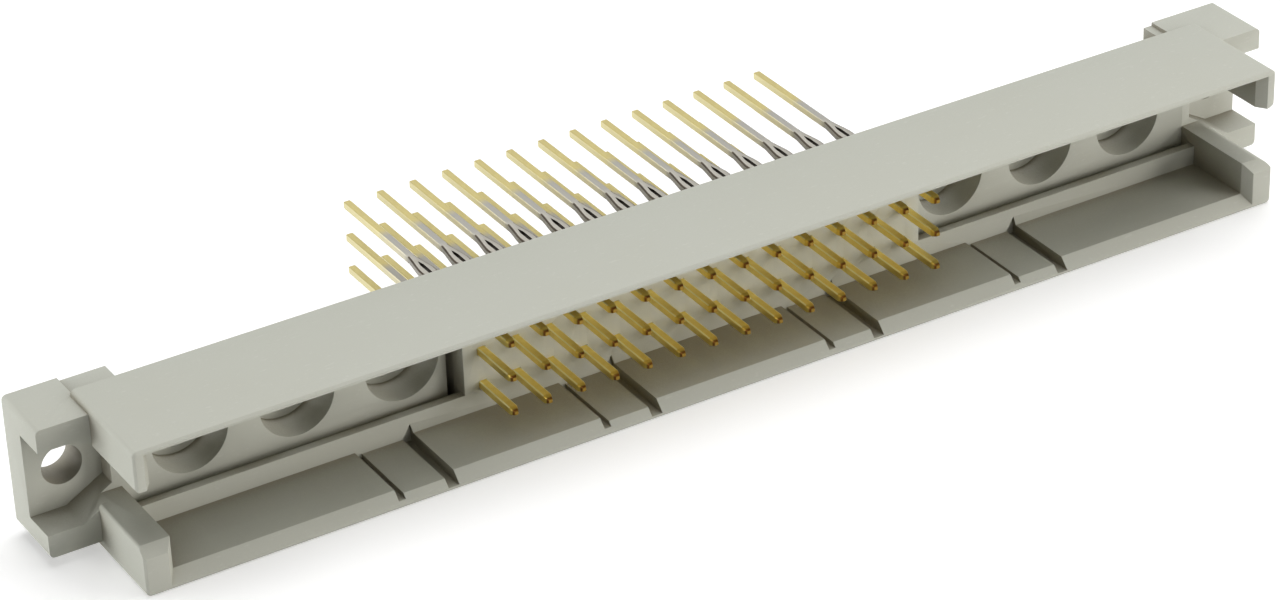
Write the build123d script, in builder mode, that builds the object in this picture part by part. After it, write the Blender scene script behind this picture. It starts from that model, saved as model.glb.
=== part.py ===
from build123d import *
from math import cos, radians
import os

# Straight male board connector with a mixed contact layout.
# X runs along the housing, the mating side faces -Y, Z is up.
# The origin is in the seating plane, where the flanges meet the backplane, midway between
# the mounting holes. A "reach" is a distance from that plane towards the mating side.
# Heights are above the outer face of the lower long wall.

# Driving dimensions, in millimetres
pitch = 2.54
column_count = 14
row_count = 3
contact_height = 5.45         # of the middle contact row and of the mounting holes

shroud_length = 87.8
shroud_height = 10.5
shroud_reach = 11.45
shroud_depth = 9.0            # mating face to the rear edge of the long walls
lower_wall = 1.04
upper_wall = 0.64
end_wall = 2.15               # below the slots
lip_wall = 1.2                # end walls above the slots
rim_land = 0.31               # flat front of the long walls, outside the lead-in
lead_in_depth = 0.73
end_lead_in = 0.51            # lead-in across the end walls and the lips
corner_radius = 0.35
front_chamfer = 0.15

slot_low = 3.45               # slot through each end wall
slot_high = 7.65
lower_lip_radius = 1.0        # outer edges of the slot at the +X end
upper_lip_radius = 0.7
slot_ease = 0.25              # outer edges of the slot at the -X end
slot_bevel_height = 0.65      # bevel along the front of the lower walls' tops
slot_bevel_depth = 0.7

plate_reach = 3.9             # front of the cavity plates
block_reach = 5.38            # front of the pin block and of the ledge
block_margin = 1.39           # pin block beyond the centres of the end columns
relief_gap = 0.5              # slot between the pin block and each plate
relief_depth = 1.0

ledge_thickness = 0.6
ledge_height = 1.44           # above the floor of the mouth
gutter_height = 0.9           # of the gutter behind the ledge, above the same floor

cavity_pitch = 7.62
cavity_offset = 21.59
cavity_count = 3              # at each end
cavity_radius = 2.7
cavity_depth = 2.65
cavity_rear_radius = 2.2

recess_centres = (-24.0, -8.76, 8.76, 24.0)
recess_width = 4.3            # keyed recesses in the floor of the mouth
recess_depth = 0.25
crease_width = 0.5
crease_depth = 0.55
keyway_width = 0.8
keyway_depth = 0.75
keyway_rise = 0.75            # its notch in the ledge, above the floor
keyway_run = 0.35
keyway_peak = 0.2             # highest point of the notch, in from the keyway's edge

hole_pitch = 90.0
hole_radius = 1.4
flange_margin = 2.5           # from a hole's centre to the flange's end
flange_depth = 5.1            # the end slots stop at its front face
flange_low = 0.75
flange_high = 10.1
nut_across_flats = 5.25
nut_floor = 2.45              # flange thickness under the nut
left_flange_run = 0.2         # flanges, from the shroud's ends inwards
right_flange_run = 2.1
left_foot_run = 3.5           # seating feet, from the shroud's ends inwards
right_foot_run = 2.8
foot_inset = 0.25             # the feet are this much slimmer than the flanges
spine_height = 6.4            # seating spine behind the shroud
overlap = 0.5                 # feet and spine run this far into what carries them

blade_side = 0.6
blade_recess = 1.7            # blade tips stand back from the mating face
blade_tip_inset = 0.17
blade_taper = 0.5
tail_side = 0.52
tail_length = 12.9            # seating plane to the tail's end
tail_tip_inset = 0.07
tail_taper = 0.15
zone_start = 0.2              # press-in zone, behind the seating plane
zone_length = 3.5
zone_width = 1.12
zone_coin = 0.12              # chamfer along the zone's outer edges
zone_land_start = 1.0         # stretch at full width, from the start of the zone
zone_land = 0.4
eye_start = 0.35              # eye, from the start of the zone
eye_length = 2.35
eye_width = 0.3
eye_land_start = 0.55         # stretch at full width, from the start of the eye
eye_land = 0.85

# Derived places, with the depths as Y and the heights as Z
seat_y = 0
front_y = seat_y - shroud_reach
shroud_rear_y = front_y + shroud_depth
plate_y = seat_y - plate_reach
block_y = seat_y - block_reach
flange_front_y = seat_y - flange_depth
nut_seat_y = seat_y - nut_floor
blade_tip_y = front_y + blade_recess
tail_tip_y = seat_y + tail_length
zone_front_y = seat_y + zone_start
zone_rear_y = zone_front_y + zone_length
zone_land_front_y = zone_front_y + zone_land_start
zone_land_rear_y = zone_land_front_y + zone_land
eye_front_y = zone_front_y + eye_start
eye_rear_y = eye_front_y + eye_length
eye_land_front_y = eye_front_y + eye_land_start
eye_land_rear_y = eye_land_front_y + eye_land
base_z = -contact_height
floor_z = base_z + lower_wall
ceiling_z = base_z + shroud_height - upper_wall
shroud_middle_z = base_z + shroud_height / 2
mouth_middle_z = (floor_z + ceiling_z) / 2
slot_low_z = base_z + slot_low
slot_high_z = base_z + slot_high
slot_middle_z = (slot_low_z + slot_high_z) / 2
lead_in_y = front_y + lead_in_depth
flange_middle_z = base_z + (flange_low + flange_high) / 2

# Derived lengths and patterns
mouth_length = shroud_length - 2 * end_wall
mouth_height = ceiling_z - floor_z
rim_height = shroud_height - 2 * rim_land
lip_spacing = shroud_length - 2 * lip_wall
lip_height = ceiling_z - slot_middle_z
lip_rim_length = lip_spacing + 2 * end_lead_in
lip_rim_height = lip_height + upper_wall - rim_land
block_length = (column_count - 1) * pitch + 2 * block_margin
flange_height = flange_high - flange_low
foot_height = flange_height - 2 * foot_inset
overhang = (hole_pitch - shroud_length) / 2 + flange_margin
shroud_left_x = -shroud_length / 2
shroud_right_x = shroud_length / 2
spine_left_x = shroud_left_x + left_foot_run - overlap
spine_right_x = shroud_right_x - right_foot_run + overlap
spine_length = spine_right_x - spine_left_x
nut_corner_radius = nut_across_flats / 2 / cos(radians(30))
cavity_x = [cavity_offset + index * cavity_pitch for index in range(cavity_count)]
cavity_centres = [(side * x, 0) for side in (-1, 1) for x in cavity_x]
same_place = 0.01             # edges this near a place are taken to lie in it


def across(y):
    """Plane across the housing at depth y, facing out of the mating side."""
    return Plane.XZ.offset(-y)


def slot_edges(part, end_x, height):
    """Outer edges of the slot in the end wall at end_x that run along Y at the given height."""
    def in_place(edge):
        middle = edge.center()
        return abs(middle.X - end_x) < same_place and abs(middle.Z - height) < same_place
    return part.edges().filter_by(Axis.Y).filter_by(in_place)


with BuildPart() as housing:
    # Shroud block with eased edges
    with BuildSketch(across(shroud_rear_y)):
        with Locations((0, shroud_middle_z)):
            Rectangle(shroud_length, shroud_height)
    extrude(amount=shroud_depth)
    fillet(housing.edges().filter_by(Axis.Y), radius=corner_radius)
    chamfer(housing.faces().sort_by(Axis.Y)[0].edges(), length=front_chamfer)

    # Mouth with its lead-in
    with BuildSketch(across(plate_y)):
        with Locations((0, mouth_middle_z)):
            Rectangle(mouth_length, mouth_height)
    extrude(amount=plate_y - lead_in_y, mode=Mode.SUBTRACT)
    with BuildSketch(across(lead_in_y)):
        with Locations((0, mouth_middle_z)):
            Rectangle(mouth_length, mouth_height)
    with BuildSketch(across(front_y)):
        with Locations((0, shroud_middle_z)):
            Rectangle(mouth_length + 2 * end_lead_in, rim_height)
    loft(mode=Mode.SUBTRACT)

    # Longer part of the mouth between the upper lips
    with BuildSketch(across(flange_front_y)):
        with Locations((0, slot_middle_z)):
            Rectangle(lip_spacing, lip_height, align=(Align.CENTER, Align.MIN))
    extrude(amount=flange_front_y - lead_in_y, mode=Mode.SUBTRACT)
    with BuildSketch(across(lead_in_y)):
        with Locations((0, slot_middle_z)):
            Rectangle(lip_spacing, lip_height, align=(Align.CENTER, Align.MIN))
    with BuildSketch(across(front_y)):
        with Locations((0, slot_middle_z)):
            Rectangle(lip_rim_length, lip_rim_height, align=(Align.CENTER, Align.MIN))
    loft(mode=Mode.SUBTRACT)

    # Slots through the end walls, which leave a lower wall and an upper lip
    with BuildSketch(across(flange_front_y)):
        with Locations((0, slot_middle_z)):
            Rectangle(shroud_length, slot_high - slot_low)
    extrude(amount=flange_front_y - front_y, mode=Mode.SUBTRACT)
    fillet(slot_edges(housing, shroud_right_x, slot_low_z), radius=lower_lip_radius)
    fillet(slot_edges(housing, shroud_right_x, slot_high_z), radius=upper_lip_radius)
    fillet(slot_edges(housing, shroud_left_x, slot_low_z), radius=slot_ease)
    fillet(slot_edges(housing, shroud_left_x, slot_high_z), radius=slot_ease)
    with BuildSketch(Plane.YZ):
        with BuildLine():
            Polyline(
                (front_y, slot_low_z),
                (front_y + slot_bevel_depth, slot_low_z),
                (front_y, slot_low_z - slot_bevel_height),
                close=True,
            )
        make_face()
    extrude(amount=shroud_length / 2, both=True, mode=Mode.SUBTRACT)

    # Pin block, raised between the two cavity plates
    with BuildSketch(across(plate_y)):
        with Locations((0, mouth_middle_z)):
            Rectangle(block_length, mouth_height)
    extrude(amount=plate_y - block_y)
    with BuildSketch(across(plate_y + relief_depth)):
        with Locations((0, mouth_middle_z)):
            with GridLocations(block_length + relief_gap, 0, 2, 1):
                Rectangle(relief_gap, mouth_height)
    extrude(amount=relief_depth, mode=Mode.SUBTRACT)

    # Ledge along the foot of the plates and the pin block, with a gutter behind it
    with BuildSketch(Plane.YZ):
        with BuildLine():
            Polyline(
                (block_y, floor_z - recess_depth),
                (block_y, floor_z + ledge_height),
                (block_y + ledge_thickness, floor_z + ledge_height),
                (block_y + ledge_thickness, floor_z + gutter_height),
                (plate_y, floor_z + gutter_height),
                (plate_y, floor_z - recess_depth),
                close=True,
            )
        make_face()
    extrude(amount=mouth_length / 2, both=True)

    # Keyed recesses in the floor, each with a crease and a deeper keyway
    with BuildSketch(across(block_y)):
        for centre in recess_centres:
            with Locations((centre, floor_z)):
                Rectangle(recess_width, 2 * recess_depth)
            with Locations((centre - (recess_width - crease_width) / 2, floor_z)):
                Rectangle(crease_width, 2 * crease_depth)
            with Locations((centre + (recess_width - keyway_width) / 2, floor_z)):
                Rectangle(keyway_width, 2 * keyway_depth)
    extrude(amount=block_y - front_y, mode=Mode.SUBTRACT)
    with BuildSketch(across(block_y + keyway_run)):
        for centre in recess_centres:
            keyway_right = centre + recess_width / 2
            keyway_left = keyway_right - keyway_width
            with BuildLine():
                Polyline(
                    (keyway_left, floor_z - keyway_depth),
                    (keyway_right, floor_z - keyway_depth),
                    (keyway_right, floor_z),
                    (keyway_right - keyway_peak, floor_z + keyway_rise),
                    (keyway_left, floor_z - recess_depth),
                    close=True,
                )
            make_face()
    extrude(amount=keyway_run, mode=Mode.SUBTRACT)

    # Mounting flanges, the feet that join them to the shroud, and the seating spine
    with BuildSketch(across(seat_y)):
        with Locations((shroud_left_x + left_flange_run, flange_middle_z)):
            Rectangle(overhang + left_flange_run, flange_height, align=(Align.MAX, Align.CENTER))
        with Locations((shroud_right_x - right_flange_run, flange_middle_z)):
            Rectangle(overhang + right_flange_run, flange_height, align=(Align.MIN, Align.CENTER))
        corners = vertices().group_by(Axis.X)
        fillet(corners[0] + corners[-1], radius=corner_radius)
    extrude(amount=flange_depth)
    with BuildSketch(across(seat_y)):
        with Locations((shroud_left_x, flange_middle_z)):
            Rectangle(left_foot_run, foot_height, align=(Align.MIN, Align.CENTER))
        with Locations((shroud_right_x, flange_middle_z)):
            Rectangle(right_foot_run, foot_height, align=(Align.MAX, Align.CENTER))
        with Locations((spine_left_x, 0)):
            Rectangle(spine_length, spine_height, align=(Align.MIN, Align.CENTER))
    extrude(amount=seat_y - shroud_rear_y + overlap)

    # Nut pockets, hexagonal inside and open to the outer end
    with BuildSketch(across(nut_seat_y)):
        with GridLocations(hole_pitch, 0, 2, 1):
            RegularPolygon(nut_corner_radius, 6, rotation=30)
        with GridLocations(hole_pitch + flange_margin, 0, 2, 1):
            Rectangle(flange_margin, 2 * nut_corner_radius)
    extrude(amount=nut_seat_y - flange_front_y, mode=Mode.SUBTRACT)
    with BuildSketch(across(seat_y)):
        with GridLocations(hole_pitch, 0, 2, 1):
            Circle(hole_radius)
    extrude(amount=flange_depth, mode=Mode.SUBTRACT)

    # Stepped cavities for the special contacts
    with BuildSketch(across(plate_y + cavity_depth)):
        with Locations(*cavity_centres):
            Circle(cavity_radius)
    extrude(amount=cavity_depth, mode=Mode.SUBTRACT)
    with BuildSketch(across(seat_y)):
        with Locations(*cavity_centres):
            Circle(cavity_rear_radius)
    extrude(amount=plate_reach, mode=Mode.SUBTRACT)

    # Contact holes
    with BuildSketch(across(seat_y)):
        with GridLocations(pitch, pitch, column_count, row_count):
            Rectangle(blade_side, blade_side)
    extrude(amount=block_reach, mode=Mode.SUBTRACT)


with BuildPart() as contact:
    # Press-in zone, coined along its outer edges and spread to both sides of an eye
    with BuildSketch(Plane.XY):
        with BuildLine():
            Polyline(
                (-blade_side / 2, zone_front_y),
                (-zone_width / 2, zone_land_front_y),
                (-zone_width / 2, zone_land_rear_y),
                (-tail_side / 2, zone_rear_y),
                (tail_side / 2, zone_rear_y),
                (zone_width / 2, zone_land_rear_y),
                (zone_width / 2, zone_land_front_y),
                (blade_side / 2, zone_front_y),
                close=True,
            )
        make_face()
    extrude(amount=tail_side / 2, both=True)
    outer_edges = contact.edges().filter_by(Axis.X, reverse=True).filter_by(Axis.Z, reverse=True)
    chamfer(outer_edges, length=zone_coin)
    with BuildSketch(Plane.XY):
        with BuildLine():
            Polyline(
                (0, eye_front_y),
                (-eye_width / 2, eye_land_front_y),
                (-eye_width / 2, eye_land_rear_y),
                (0, eye_rear_y),
                (eye_width / 2, eye_land_rear_y),
                (eye_width / 2, eye_land_front_y),
                close=True,
            )
        make_face()
    extrude(amount=tail_side / 2, both=True, mode=Mode.SUBTRACT)

    # Mating blade with a coined tip, through the housing to the press-in zone
    with BuildSketch(across(zone_front_y)):
        Rectangle(blade_side, blade_side)
    extrude(amount=zone_front_y - blade_tip_y)
    tip = contact.faces().sort_by(Axis.Y)[0]
    chamfer(tip.edges(), length=blade_tip_inset, length2=blade_taper, reference=tip)

    # Wrap tail with a tapered end
    with BuildSketch(across(zone_rear_y)):
        Rectangle(tail_side, tail_side)
    extrude(amount=zone_rear_y - tail_tip_y)
    tip = contact.faces().sort_by(Axis.Y)[-1]
    chamfer(tip.edges(), length=tail_tip_inset, length2=tail_taper, reference=tip)


os.makedirs("parts", exist_ok=True)
housing.part.label = "housing"
export_step(housing.part, "parts/housing.step")

# Contacts are numbered from the low row and from the -X end
for row in range(row_count):
    for column in range(column_count):
        x = (column - (column_count - 1) / 2) * pitch
        z = (row - (row_count - 1) / 2) * pitch
        with BuildPart() as placed:
            with Locations((x, 0, z)):
                add(contact.part)
        node = f"contact_{row + 1}_{column + 1:02d}"
        placed.part.label = node
        export_step(placed.part, f"parts/{node}.step")
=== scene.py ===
from math import cos, pi, radians, sin

import bmesh
import bpy
from mathutils import Matrix, Vector


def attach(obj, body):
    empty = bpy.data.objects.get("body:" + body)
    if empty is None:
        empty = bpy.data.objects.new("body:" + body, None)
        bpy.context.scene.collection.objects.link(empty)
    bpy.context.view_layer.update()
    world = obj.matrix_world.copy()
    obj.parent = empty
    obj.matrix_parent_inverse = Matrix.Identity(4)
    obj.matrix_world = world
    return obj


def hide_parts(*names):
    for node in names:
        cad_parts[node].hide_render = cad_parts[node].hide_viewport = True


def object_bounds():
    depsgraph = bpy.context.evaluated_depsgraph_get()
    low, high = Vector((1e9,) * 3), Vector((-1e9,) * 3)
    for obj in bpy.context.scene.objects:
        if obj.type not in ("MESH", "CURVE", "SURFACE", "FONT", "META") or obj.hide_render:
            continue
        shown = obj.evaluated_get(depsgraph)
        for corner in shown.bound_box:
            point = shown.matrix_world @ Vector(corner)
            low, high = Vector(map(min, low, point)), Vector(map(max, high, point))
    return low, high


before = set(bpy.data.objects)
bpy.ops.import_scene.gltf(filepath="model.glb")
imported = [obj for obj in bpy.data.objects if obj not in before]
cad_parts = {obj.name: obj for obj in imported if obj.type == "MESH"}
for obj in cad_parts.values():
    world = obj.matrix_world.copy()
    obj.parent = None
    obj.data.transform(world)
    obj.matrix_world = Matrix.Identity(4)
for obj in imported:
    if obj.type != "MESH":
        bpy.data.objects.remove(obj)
cad_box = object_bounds()
mm = 0.001


# Housing
# One injection moulding in glass-filled polyester, light warm grey. The mould leaves a fine
# matt texture and eased edges, and short glass fibres show as a faint fleck in the surface.
edge_ease = 0.11 * mm
edge_steps = 3
sharp_angle = radians(32)
flat_angle = radians(0.6)
weld = 0.002 * mm
slot_low_z = -2.0 * mm
slot_high_z = 2.2 * mm
slot_front_y = -5.2 * mm
slot_rear_y = -3.9 * mm
slot_inner_x = 41.65 * mm
slot_outer_x = 43.3 * mm


def merge_flat_faces(mesh):
    """Joins doubled points and makes each flat face whole."""
    work = bmesh.new()
    work.from_mesh(mesh)
    bmesh.ops.remove_doubles(work, verts=work.verts, dist=weld)
    bmesh.ops.dissolve_limit(
        work, angle_limit=flat_angle, verts=work.verts, edges=work.edges, delimit=set()
    )
    for face in work.faces:
        face.smooth = True
    work.to_mesh(mesh)
    work.free()


def apply_modifiers(piece):
    """Replaces the piece's mesh by the one its modifiers make."""
    view = bpy.context.evaluated_depsgraph_get()
    mesh = bpy.data.meshes.new_from_object(piece.evaluated_get(view))
    piece.modifiers.clear()
    piece.data = mesh


def add_object(name, data):
    """A new object in the scene, with this mesh, lamp or camera."""
    made = bpy.data.objects.new(name, data)
    bpy.context.scene.collection.objects.link(made)
    return made


def slot_ends():
    """Boxes that carry the end walls' slots back to the plates, into the nut pockets."""
    work = bmesh.new()
    for side in (-1, 1):
        for point in bmesh.ops.create_cube(work, size=2)["verts"]:
            x = slot_outer_x if point.co.x * side > 0 else slot_inner_x
            y = slot_rear_y if point.co.y > 0 else slot_front_y
            z = slot_high_z if point.co.z > 0 else slot_low_z
            point.co = (side * x, y, z)
    mesh = bpy.data.meshes.new("slot_ends")
    work.to_mesh(mesh)
    work.free()
    return add_object("slot_ends", mesh)


def cut_away(piece, cutter):
    """Takes the cutter's space out of the piece, and deletes the cutter."""
    cut = piece.modifiers.new("cut", "BOOLEAN")
    cut.operation = "DIFFERENCE"
    cut.solver = "EXACT"
    cut.object = cutter
    apply_modifiers(piece)
    bpy.data.objects.remove(cutter)


def ease_edges(piece):
    """Rounds the piece's sharp edges. The rounded faces take its second material, a painted
    highlight.
    """
    bevel = piece.modifiers.new("edges", "BEVEL")
    bevel.limit_method = "ANGLE"
    bevel.angle_limit = sharp_angle
    bevel.width = edge_ease
    bevel.segments = edge_steps
    bevel.use_clamp_overlap = True
    bevel.miter_outer = "MITER_ARC"
    bevel.harden_normals = True
    bevel.material = 1
    apply_modifiers(piece)


class Flow:
    """A socket of a material's node tree. Sums on it add Math nodes, and node adds any other."""

    def __init__(self, tree, socket=None):
        self.tree = tree
        self.socket = socket

    def node(self, kind, settings, inputs, output=0):
        """Adds a node, fills or links its inputs, and gives one of its outputs."""
        made = self.tree.nodes.new(kind)
        for name, value in settings.items():
            setattr(made, name, value)
        for name, value in inputs.items():
            if isinstance(value, Flow):
                self.tree.links.new(value.socket, made.inputs[name])
            else:
                made.inputs[name].default_value = value
        return Flow(self.tree, made.outputs[output])

    def math(self, operation, first, second):
        return self.node("ShaderNodeMath", {"operation": operation}, {0: first, 1: second})

    def __add__(self, other):
        return self.math("ADD", self, other)

    def __radd__(self, other):
        return self.math("ADD", other, self)

    def __sub__(self, other):
        return self.math("SUBTRACT", self, other)

    def __rsub__(self, other):
        return self.math("SUBTRACT", other, self)

    def __mul__(self, other):
        return self.math("MULTIPLY", self, other)

    def __rmul__(self, other):
        return self.math("MULTIPLY", other, self)


def rgb(red, green, blue):
    """Linear colour of an sRGB colour with parts of 0 to 255."""
    def linear(part):
        share = part / 255
        return share / 12.92 if share <= 0.04045 else ((share + 0.055) / 1.055) ** 2.4
    return (linear(red), linear(green), linear(blue), 1)


def new_material(name):
    """An empty material, the start of its node tree, and its surface shader."""
    material = bpy.data.materials.new(name)
    material.use_nodes = True
    tree = material.node_tree
    tree.nodes.clear()
    output = tree.nodes.new("ShaderNodeOutputMaterial")
    shader = tree.nodes.new("ShaderNodeBsdfPrincipled")
    tree.links.new(shader.outputs[0], output.inputs["Surface"])
    return material, Flow(tree), shader


def feed(shader, name, value):
    """Links a value to one of the shader's sockets."""
    value.tree.links.new(value.socket, shader.inputs[name])


def mix_colour(start, factor, first, second):
    """Goes from the first colour to the second as the factor goes from 0 to 1."""
    return start.node("ShaderNodeMix", {"data_type": "RGBA"}, {0: factor, 6: first, 7: second}, 2)


def rise(start, value, low, high, top=1.0):
    """Goes from 0 to top as the value goes from low to high, and stays there beyond."""
    return start.node("ShaderNodeMapRange", {}, {"Value": value, 1: low, 2: high, 4: top})


def noise(start, place, scale, detail=2, roughness=0.5):
    """Noise with grains of about one part in scale of a metre."""
    inputs = {"Vector": place, "Scale": scale, "Detail": detail, "Roughness": roughness}
    return start.node("ShaderNodeTexNoise", {"noise_dimensions": "3D"}, inputs)


plastic_colour = rgb(188, 190, 180)
plastic_shade = rgb(184, 185, 173)
# Lighter plastic for the rounded edges, a painted highlight
edge_highlight_colour = rgb(223, 221, 209)
edge_highlight_shade = rgb(217, 215, 201)
drift_scale = 120
grain_scale = 9000
fibre_colour = rgb(200, 201, 192)
fibre_scale = 5200
fibre_stretch = 0.35
fleck_low = 0.66
fleck_high = 0.76
fleck_share = 0.35
# Painted shade in the recesses: its brown, its reach and samples, how full it gets, and how much
# less of it front faces take
recess_painted_shade = rgb(92, 76, 44)
painted_shade_reach = 3.6 * mm
painted_shade_samples = 6
painted_shade_closed = 0.64
painted_shade_share = 0.6
front_shade_cut = 0.8
plastic_roughness = 0.5
grain_roughness = 0.14
grain_part = 0.6
grain_height = 0.02 * mm
grain_strength = 0.12
plastic_specular = 0.4


def moulded_plastic(name, colour, shade):
    """Matt plastic with a slow drift and a fleck of fibres, and painted brown shade in its
    recesses.
    """
    material, start, shader = new_material(name)
    place = start.node("ShaderNodeTexCoord", {}, {}, "Object")
    drift = noise(start, place, drift_scale, detail=3)
    grain = noise(start, place, grain_scale, roughness=0.6)
    fibre_place = start.node(
        "ShaderNodeMapping", {}, {"Vector": place, "Scale": (fibre_stretch, 1.0, 1.0)}
    )
    fleck = rise(start, noise(start, fibre_place, fibre_scale, detail=1), fleck_low, fleck_high)
    # Painted shade: brown where the housing closes in round a point, less on faces that look to
    # the front
    openness = start.node(
        "ShaderNodeAmbientOcclusion", {"samples": painted_shade_samples},
        {"Distance": painted_shade_reach}, "AO",
    )
    normal = start.node("ShaderNodeNewGeometry", {}, {}, "Normal")
    front_facing = start.node("ShaderNodeSeparateXYZ", {}, {0: normal}, "Y")
    recess = rise(start, openness, 1.0, painted_shade_closed, painted_shade_share)
    recess = recess * (1 - front_shade_cut * (front_facing * front_facing))
    body = mix_colour(start, drift, colour, shade)
    body = mix_colour(start, fleck * fleck_share, body, fibre_colour)
    body = mix_colour(start, recess, body, recess_painted_shade)
    feed(shader, "Base Color", body)
    feed(shader, "Roughness", plastic_roughness + grain_roughness * grain)
    relief = grain * grain_part + drift * (1 - grain_part)
    bump = start.node(
        "ShaderNodeBump", {},
        {"Strength": grain_strength, "Distance": grain_height, "Height": relief},
    )
    feed(shader, "Normal", bump)
    shader.inputs["Specular IOR Level"].default_value = plastic_specular
    return material


housing_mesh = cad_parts["housing"].data.copy()
housing_mesh.materials.clear()
merge_flat_faces(housing_mesh)
housing = add_object("housing_moulding", housing_mesh)
cut_away(housing, slot_ends())
merge_flat_faces(housing.data)
ease_edges(housing)
housing.data.materials.append(
    moulded_plastic("moulded_polyester", plastic_colour, plastic_shade)
)
# Second material: the lighter plastic of the rounded edges, a painted highlight
housing.data.materials.append(
    moulded_plastic("moulded_polyester_edge_highlight", edge_highlight_colour, edge_highlight_shade)
)
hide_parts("housing")
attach(housing, "root")


# Contacts
# Each one is stamped from copper-alloy strip. The blade and the tail's end are gold-plated,
# and the press-in zone and the rest of the tail are matt tin. The zone's outer corners are
# coined so that it fits a round hole, and its eye lets the two beams spring.
pitch = 2.54 * mm
column_count = 14
row_count = 3
blade_half = 0.30 * mm
blade_round = 0.11 * mm
blade_tip_y = -9.75 * mm
blade_taper = 0.5 * mm
blade_tip_inset = 0.17 * mm
blade_tip_round = 0.02 * mm
blade_tip_curve = 1.3
blade_tip_shares = (0, 0.12, 0.45, 0.8, 1)
tail_half = 0.26 * mm
tail_round = 0.06 * mm
tail_tip_y = 12.9 * mm
tail_taper = 0.15 * mm
tail_tip_inset = 0.07 * mm
tail_tip_curve = 1.5
tail_tip_shares = (1, 0.5, 0)
zone_front_y = 0.2 * mm
zone_land_front_y = 1.2 * mm
zone_land_rear_y = 1.6 * mm
zone_rear_y = 3.7 * mm
zone_half = 0.56 * mm
zone_straight = 0.6
zone_coin = 0.10 * mm
zone_steps = 24
coin_step = 0.03 * mm
eye_front_y = 0.55 * mm
eye_rear_y = 2.8 * mm
eye_half = 0.13 * mm
eye_fullness = 1.25
eye_curve = 0.8
corner_points = 4
strip_weld = 0.0005 * mm
strip_sharp_angle = radians(34)


def ease(share):
    """Smooth step from 0 to 1."""
    share = min(max(share, 0), 1)
    return share * share * (3 - 2 * share)


def zone_width_at(y):
    """Half the width of the strip at depth y."""
    if y < zone_land_front_y:
        share = (y - zone_front_y) / (zone_land_front_y - zone_front_y)
        narrow = blade_half
    else:
        share = (zone_rear_y - y) / (zone_rear_y - zone_land_rear_y)
        narrow = tail_half
    share = min(share, 1)
    spread = zone_straight * share + (1 - zone_straight) * ease(share)
    return narrow + (zone_half - narrow) * spread


def eye_width_at(y):
    """Half the width of the eye at depth y, 0 outside it."""
    share = (y - eye_front_y) / (eye_rear_y - eye_front_y)
    if share <= 0 or share >= 1:
        return 0
    return eye_half * min(1, eye_fullness * sin(pi * share) ** eye_curve)


def contact_stations():
    """Depth, half width, half height, corner cut and half eye of each cross-section."""
    stations = []
    for share in blade_tip_shares:
        y = blade_tip_y + share * blade_taper
        side = blade_half - blade_tip_inset * (1 - share) ** blade_tip_curve
        corner = blade_tip_round + (blade_round - blade_tip_round) * share
        stations.append((y, side, side, corner, 0))
    stations.append((zone_front_y - coin_step, blade_half, blade_half, blade_round, 0))
    for step in range(zone_steps + 1):
        y = zone_front_y + (zone_rear_y - zone_front_y) * step / zone_steps
        stations.append((y, zone_width_at(y), tail_half, zone_coin, eye_width_at(y)))
    stations.append((zone_rear_y + coin_step, tail_half, tail_half, tail_round, 0))
    for share in tail_tip_shares:
        y = tail_tip_y - share * tail_taper
        side = tail_half - tail_tip_inset * (1 - share) ** tail_tip_curve
        stations.append((y, side, side, tail_round, 0))
    return stations


def contact_ring(work, y, width, height, corner, eye):
    """Points round one cross-section. Both flat sides have two more, at the eye's edges."""
    ring = []
    for sign_x, sign_z, start in ((1, 1, 0), (-1, 1, 90), (-1, -1, 180), (1, -1, 270)):
        centre_x = sign_x * (width - corner)
        centre_z = sign_z * (height - corner)
        for step in range(corner_points):
            angle = radians(start + 90 * step / (corner_points - 1))
            x = centre_x + corner * cos(angle)
            z = centre_z + corner * sin(angle)
            ring.append(work.verts.new((x, y, z)))
        if sign_x == sign_z:
            ring.append(work.verts.new((sign_x * eye, y, sign_z * height)))
            ring.append(work.verts.new((-sign_x * eye, y, sign_z * height)))
    return ring


def contact_mesh():
    """The strip as rings of points: its skin outside, and two inner walls along the eye."""
    work = bmesh.new()
    rings = [contact_ring(work, *station) for station in contact_stations()]
    count = len(rings[0])
    top_eye = corner_points
    low_eye = 3 * corner_points + 2
    # The flat stretches round a ring start at these points, and the others are its corners
    flat_starts = (
        top_eye - 1, top_eye + 1, 2 * corner_points + 1, low_eye - 1, low_eye + 1, count - 1
    )
    for first, second in zip(rings, rings[1:]):
        coined = zone_front_y <= first[0].co.y and second[0].co.y < zone_rear_y + coin_step
        for index in range(count):
            if index in (top_eye, low_eye):
                continue
            after = (index + 1) % count
            face = work.faces.new((first[index], first[after], second[after], second[index]))
            # The coined corners take the second material, which paints shade on them
            face.material_index = int(coined and index not in flat_starts)
        for upper, lower in ((top_eye, low_eye + 1), (low_eye, top_eye + 1)):
            if abs(first[upper].co.x) + abs(second[upper].co.x) > 0:
                wall = work.faces.new((first[upper], first[lower], second[lower], second[upper]))
                # The eye's walls take the painted shade too
                wall.material_index = 1
    work.faces.new(reversed(rings[0]))
    work.faces.new(rings[-1])
    bmesh.ops.remove_doubles(work, verts=work.verts, dist=strip_weld)
    bmesh.ops.recalc_face_normals(work, faces=work.faces)
    for face in work.faces:
        face.smooth = True
    mesh = bpy.data.meshes.new("contact_strip")
    work.to_mesh(mesh)
    work.free()
    mesh.set_sharp_from_angle(angle=strip_sharp_angle)
    return mesh


blade_gold = rgb(252, 229, 132)
blade_gold_shade = rgb(234, 204, 102)
blade_fade = 1 * mm
# A pale gold along the blade's arrises, a painted highlight
arris_painted_highlight = rgb(255, 246, 190)
arris_reach = 0.525 * mm
arris_fade = 0.02 * mm
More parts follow.
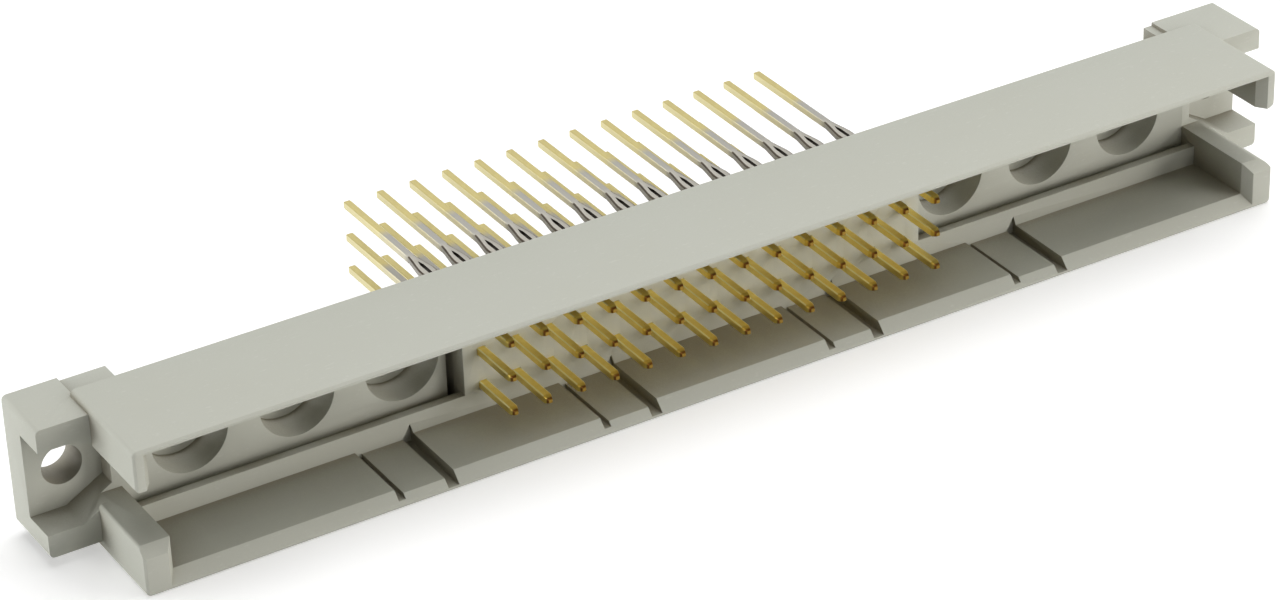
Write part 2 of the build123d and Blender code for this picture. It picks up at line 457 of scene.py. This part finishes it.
# The blade's tip is darker, brown on the taper and dull gold on its end face: painted shade
tip_painted_shade = rgb(150, 104, 56)
tip_end_painted_shade = rgb(136, 108, 46)
tip_end_depth = 0.01 * mm
tip_end_fade = 0.03 * mm
tip_depth = 0.26 * mm
tail_gold = rgb(168, 157, 106)
tail_gold_shade = rgb(156, 144, 94)
# The strip's sides take lighter gold than its top, painted light
tail_side_painted_light = rgb(206, 197, 152)
gold_edge_y = 7.35 * mm
plating_soft = 0.8 * mm
side_gold_y = 3.9 * mm
side_gold_fade = 2.4 * mm
side_gold_share = 0.55
side_depth = 0.03 * mm
side_fade = 0.02 * mm
wander_scale = 1800
wander_reach = 0.7 * mm
tin_colour = rgb(148, 145, 138)
tin_shade = rgb(134, 131, 123)
# Lighter tin on the strip's sides behind the zone, painted light
tin_side_painted_light = rgb(184, 180, 166)
tail_tin = rgb(134, 132, 126)
tail_tin_y = 4.2 * mm
# Dark colours for the coined corners and the eye's walls: painted shade
coin_painted_shade = rgb(84, 77, 67)
coin_painted_shade_dull = rgb(62, 55, 47)
patch_scale = 2200
draw_scale = 9000
draw_stretch = 0.05
draw_height = 0.004 * mm
draw_strength = 0.15
metal_roughness = 0.46
tail_polish = 0.08
blade_polish = 0.21
arris_dullness = 0.2
draw_roughness = 0.08


def plated_metal(name, tin, tin_dull):
    """Gold on the blade and on the tail's end, and tin between them."""
    material, start, shader = new_material(name)
    place = start.node("ShaderNodeTexCoord", {}, {}, "Object")
    across = start.node("ShaderNodeSeparateXYZ", {}, {0: place}, "X")
    along = start.node("ShaderNodeSeparateXYZ", {}, {0: place}, "Y")
    height = start.node("ShaderNodeSeparateXYZ", {}, {0: place}, "Z")
    across = start.node("ShaderNodeMath", {"operation": "ABSOLUTE"}, {0: across})
    height = start.node("ShaderNodeMath", {"operation": "ABSOLUTE"}, {0: height})
    draw_place = start.node(
        "ShaderNodeMapping", {}, {"Vector": place, "Scale": (1.0, draw_stretch, 1.0)}
    )
    draw_lines = noise(start, draw_place, draw_scale, detail=3, roughness=0.6)
    patches = noise(start, place, patch_scale)

    # How much of each plating shows, along the strip and on its sides
    wavy = along + noise(start, place, wander_scale, detail=3) * wander_reach
    on_side = rise(start, across, tail_half - side_depth, tail_half - side_depth + side_fade)
    side_gold = rise(start, wavy, side_gold_y, side_gold_y + side_gold_fade, side_gold_share)
    tail_share = rise(start, wavy, gold_edge_y, gold_edge_y + plating_soft)
    tail_share = start.math("MAXIMUM", tail_share, side_gold * on_side)
    blade_share = rise(start, along, 0.0, -blade_fade)
    behind_zone = rise(start, along, zone_rear_y, tail_tin_y)
    # The band along the blade's arrises that takes the painted highlight
    arris = rise(start, across + height, arris_reach - arris_fade, arris_reach)
    tip_end_y = blade_tip_y + tip_end_depth
    behind_tip_end = rise(start, along, tip_end_y, tip_end_y + tip_end_fade)
    tip_share = rise(start, along, blade_tip_y + tip_depth, blade_tip_y + tip_depth / 2)

    # The platings laid over each other, from tin to the blade's tip, which has painted shade
    body = mix_colour(start, patches, tin, tin_dull)
    body = mix_colour(start, behind_zone, body, tail_tin)
    # Painted light: the strip's sides take lighter copies of the tin and the gold
    body = mix_colour(start, on_side * behind_zone, body, tin_side_painted_light)
    tail_body = mix_colour(start, patches, tail_gold, tail_gold_shade)
    tail_body = mix_colour(start, on_side, tail_body, tail_side_painted_light)
    body = mix_colour(start, tail_share, body, tail_body)
    blade_body = mix_colour(start, patches, blade_gold, blade_gold_shade)
    blade_body = mix_colour(start, arris, blade_body, arris_painted_highlight)
    body = mix_colour(start, blade_share, body, blade_body)
    tip_body = mix_colour(start, behind_tip_end, tip_end_painted_shade, tip_painted_shade)
    body = mix_colour(start, tip_share, body, tip_body)
    feed(shader, "Base Color", body)

    blade_sheen = blade_share * (blade_polish - arris_dullness * arris)
    roughness = metal_roughness - tail_polish * tail_share - blade_sheen
    feed(shader, "Roughness", roughness + draw_roughness * draw_lines)
    bump = start.node(
        "ShaderNodeBump", {},
        {"Strength": draw_strength, "Distance": draw_height, "Height": draw_lines},
    )
    feed(shader, "Normal", bump)
    shader.inputs["Metallic"].default_value = 1
    return material


pattern = add_object("contact_pattern", contact_mesh())
flat_faces = pattern.modifiers.new("flat_faces", "WEIGHTED_NORMAL")
flat_faces.keep_sharp = True
apply_modifiers(pattern)
strip = pattern.data
bpy.data.objects.remove(pattern)
strip.materials.append(plated_metal("gold_and_tin_plating", tin_colour, tin_shade))
# Second material: the platings with the tin darkened, painted shade on the coined corners and the
# eye's walls
strip.materials.append(plated_metal("coined_corners_and_eye_painted_shade", coin_painted_shade, coin_painted_shade_dull))
for row in range(row_count):
    for column in range(column_count):
        name = f"{row + 1}_{column + 1:02d}"
        contact = add_object("contact_strip_" + name, strip)
        x = (column - (column_count - 1) / 2) * pitch
        z = (row - (row_count - 1) / 2) * pitch
        contact.location = (x, 0, z)
        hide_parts("contact_" + name)
        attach(contact, "root")


# Floor
# A plain pale sheet under the object, which the camera sees as white with a soft shadow.
floor_half = 0.9
floor_gap = 0.02 * mm
floor_colour = (0.8, 0.8, 0.8, 1)
floor_roughness = 0.9
near_glow = (0.4, 0.4, 0.4, 1)
white = (1, 1, 1, 1)
shadow_reach = 0.09
white_reach = 0.25


def seen_directly(start):
    """1 for what the camera sees, also in gloss and through glass, and 0 for other light."""
    seen = start.node("ShaderNodeLightPath", {}, {}, "Is Camera Ray")
    for ray in ("Is Glossy Ray", "Is Transmission Ray"):
        seen = start.math("MAXIMUM", seen, start.node("ShaderNodeLightPath", {}, {}, ray))
    return seen


def pale_sheet():
    """A matt sheet with a glow for the camera, which is full far from the object."""
    material, start, shader = new_material("pale_sheet")
    shader.inputs["Base Color"].default_value = floor_colour
    shader.inputs["Roughness"].default_value = floor_roughness
    place = start.node("ShaderNodeNewGeometry", {}, {}, "Position")
    away = start.node("ShaderNodeVectorMath", {"operation": "LENGTH"}, {0: place}, "Value")
    far = rise(start, away, shadow_reach, white_reach)
    feed(shader, "Emission Color", mix_colour(start, far, near_glow, white))
    feed(shader, "Emission Strength", seen_directly(start))
    return material


floor_z = cad_box[0][2] - floor_gap
floor_mesh = bpy.data.meshes.new("floor")
floor_mesh.from_pydata(
    [(x * floor_half, y * floor_half, floor_z) for x, y in ((-1, -1), (1, -1), (1, 1), (-1, 1))],
    [],
    [(0, 1, 2, 3)],
)
floor_mesh.materials.append(pale_sheet())
floor = add_object("floor", floor_mesh)
floor.visible_shadow = False


# Light
# A wide lamp above the rear, one right above, and soft ones low on the left and on the right
# front. A small one shines along the housing through its end slots, and a small key lamp
# stands in front. The pale room is seen as white.
lamp_distance = 0.6
neutral = (1, 1, 1)
warm = (1, 0.968, 0.938)
room_light = 0.01


def towards(azimuth, elevation):
    """Direction from the object to a place that is given by its angles in degrees."""
    around = radians(azimuth)
    up = radians(elevation)
    return Vector((sin(around) * cos(up), -cos(around) * cos(up), sin(up)))


def lamp(name, azimuth, elevation, watts, size, colour):
    """A square area lamp that faces the object, placed by its angles as the camera is."""
    data = bpy.data.lights.new(name, "AREA")
    data.size = size
    data.energy = watts
    data.color = colour
    direction = towards(azimuth, elevation)
    holder = add_object(name, data)
    holder.location = direction * lamp_distance
    holder.rotation_euler = direction.to_track_quat("Z", "Y").to_euler()


lamp("lamp_left", azimuth=-112, elevation=8, watts=1.9, size=0.3, colour=neutral)
lamp("lamp_through_slots", azimuth=-92, elevation=0, watts=0.45, size=0.1, colour=neutral)
lamp("lamp_front_right", azimuth=45, elevation=10, watts=2.0, size=0.3, colour=warm)
lamp("lamp_key", azimuth=10, elevation=14, watts=0.4, size=0.14, colour=warm)
lamp("lamp_above", azimuth=140, elevation=68, watts=3.2, size=0.6, colour=neutral)
lamp("lamp_top", azimuth=0, elevation=80, watts=0.5, size=0.3, colour=neutral)

world = bpy.data.worlds.new("room")
bpy.context.scene.world = world
world.use_nodes = True
world.node_tree.nodes.clear()
room = Flow(world.node_tree)
sky = room.node(
    "ShaderNodeBackground", {},
    {"Color": white, "Strength": room_light + (1 - room_light) * seen_directly(room)},
)
world_output = world.node_tree.nodes.new("ShaderNodeOutputWorld")
world.node_tree.links.new(sky.socket, world_output.inputs["Surface"])


# Camera
# It looks down on the mating side from the left front, as in the photograph.
view_azimuth = -30.33
view_elevation = 30.38
view_roll = -2.20
view_distance = 285.3 * mm
view_aim = Vector((-1.67, -0.64, -3.46)) * mm
sensor_width = 36.0
focal_length = 118.6
nearest_seen = 0.02

towards_camera = towards(view_azimuth, view_elevation)
camera_data = bpy.data.cameras.new("camera")
camera_data.sensor_fit = "HORIZONTAL"
camera_data.sensor_width = sensor_width
camera_data.lens = focal_length
camera_data.clip_start = nearest_seen
camera = add_object("camera", camera_data)
level = towards_camera.to_track_quat("Z", "Y").to_matrix().to_4x4()
camera.matrix_world = (
    Matrix.Translation(view_aim + towards_camera * view_distance)
    @ level
    @ Matrix.Rotation(radians(view_roll), 4, "Z")
)
bpy.context.scene.camera = camera
bpy.context.scene.view_settings.view_transform = "Standard"
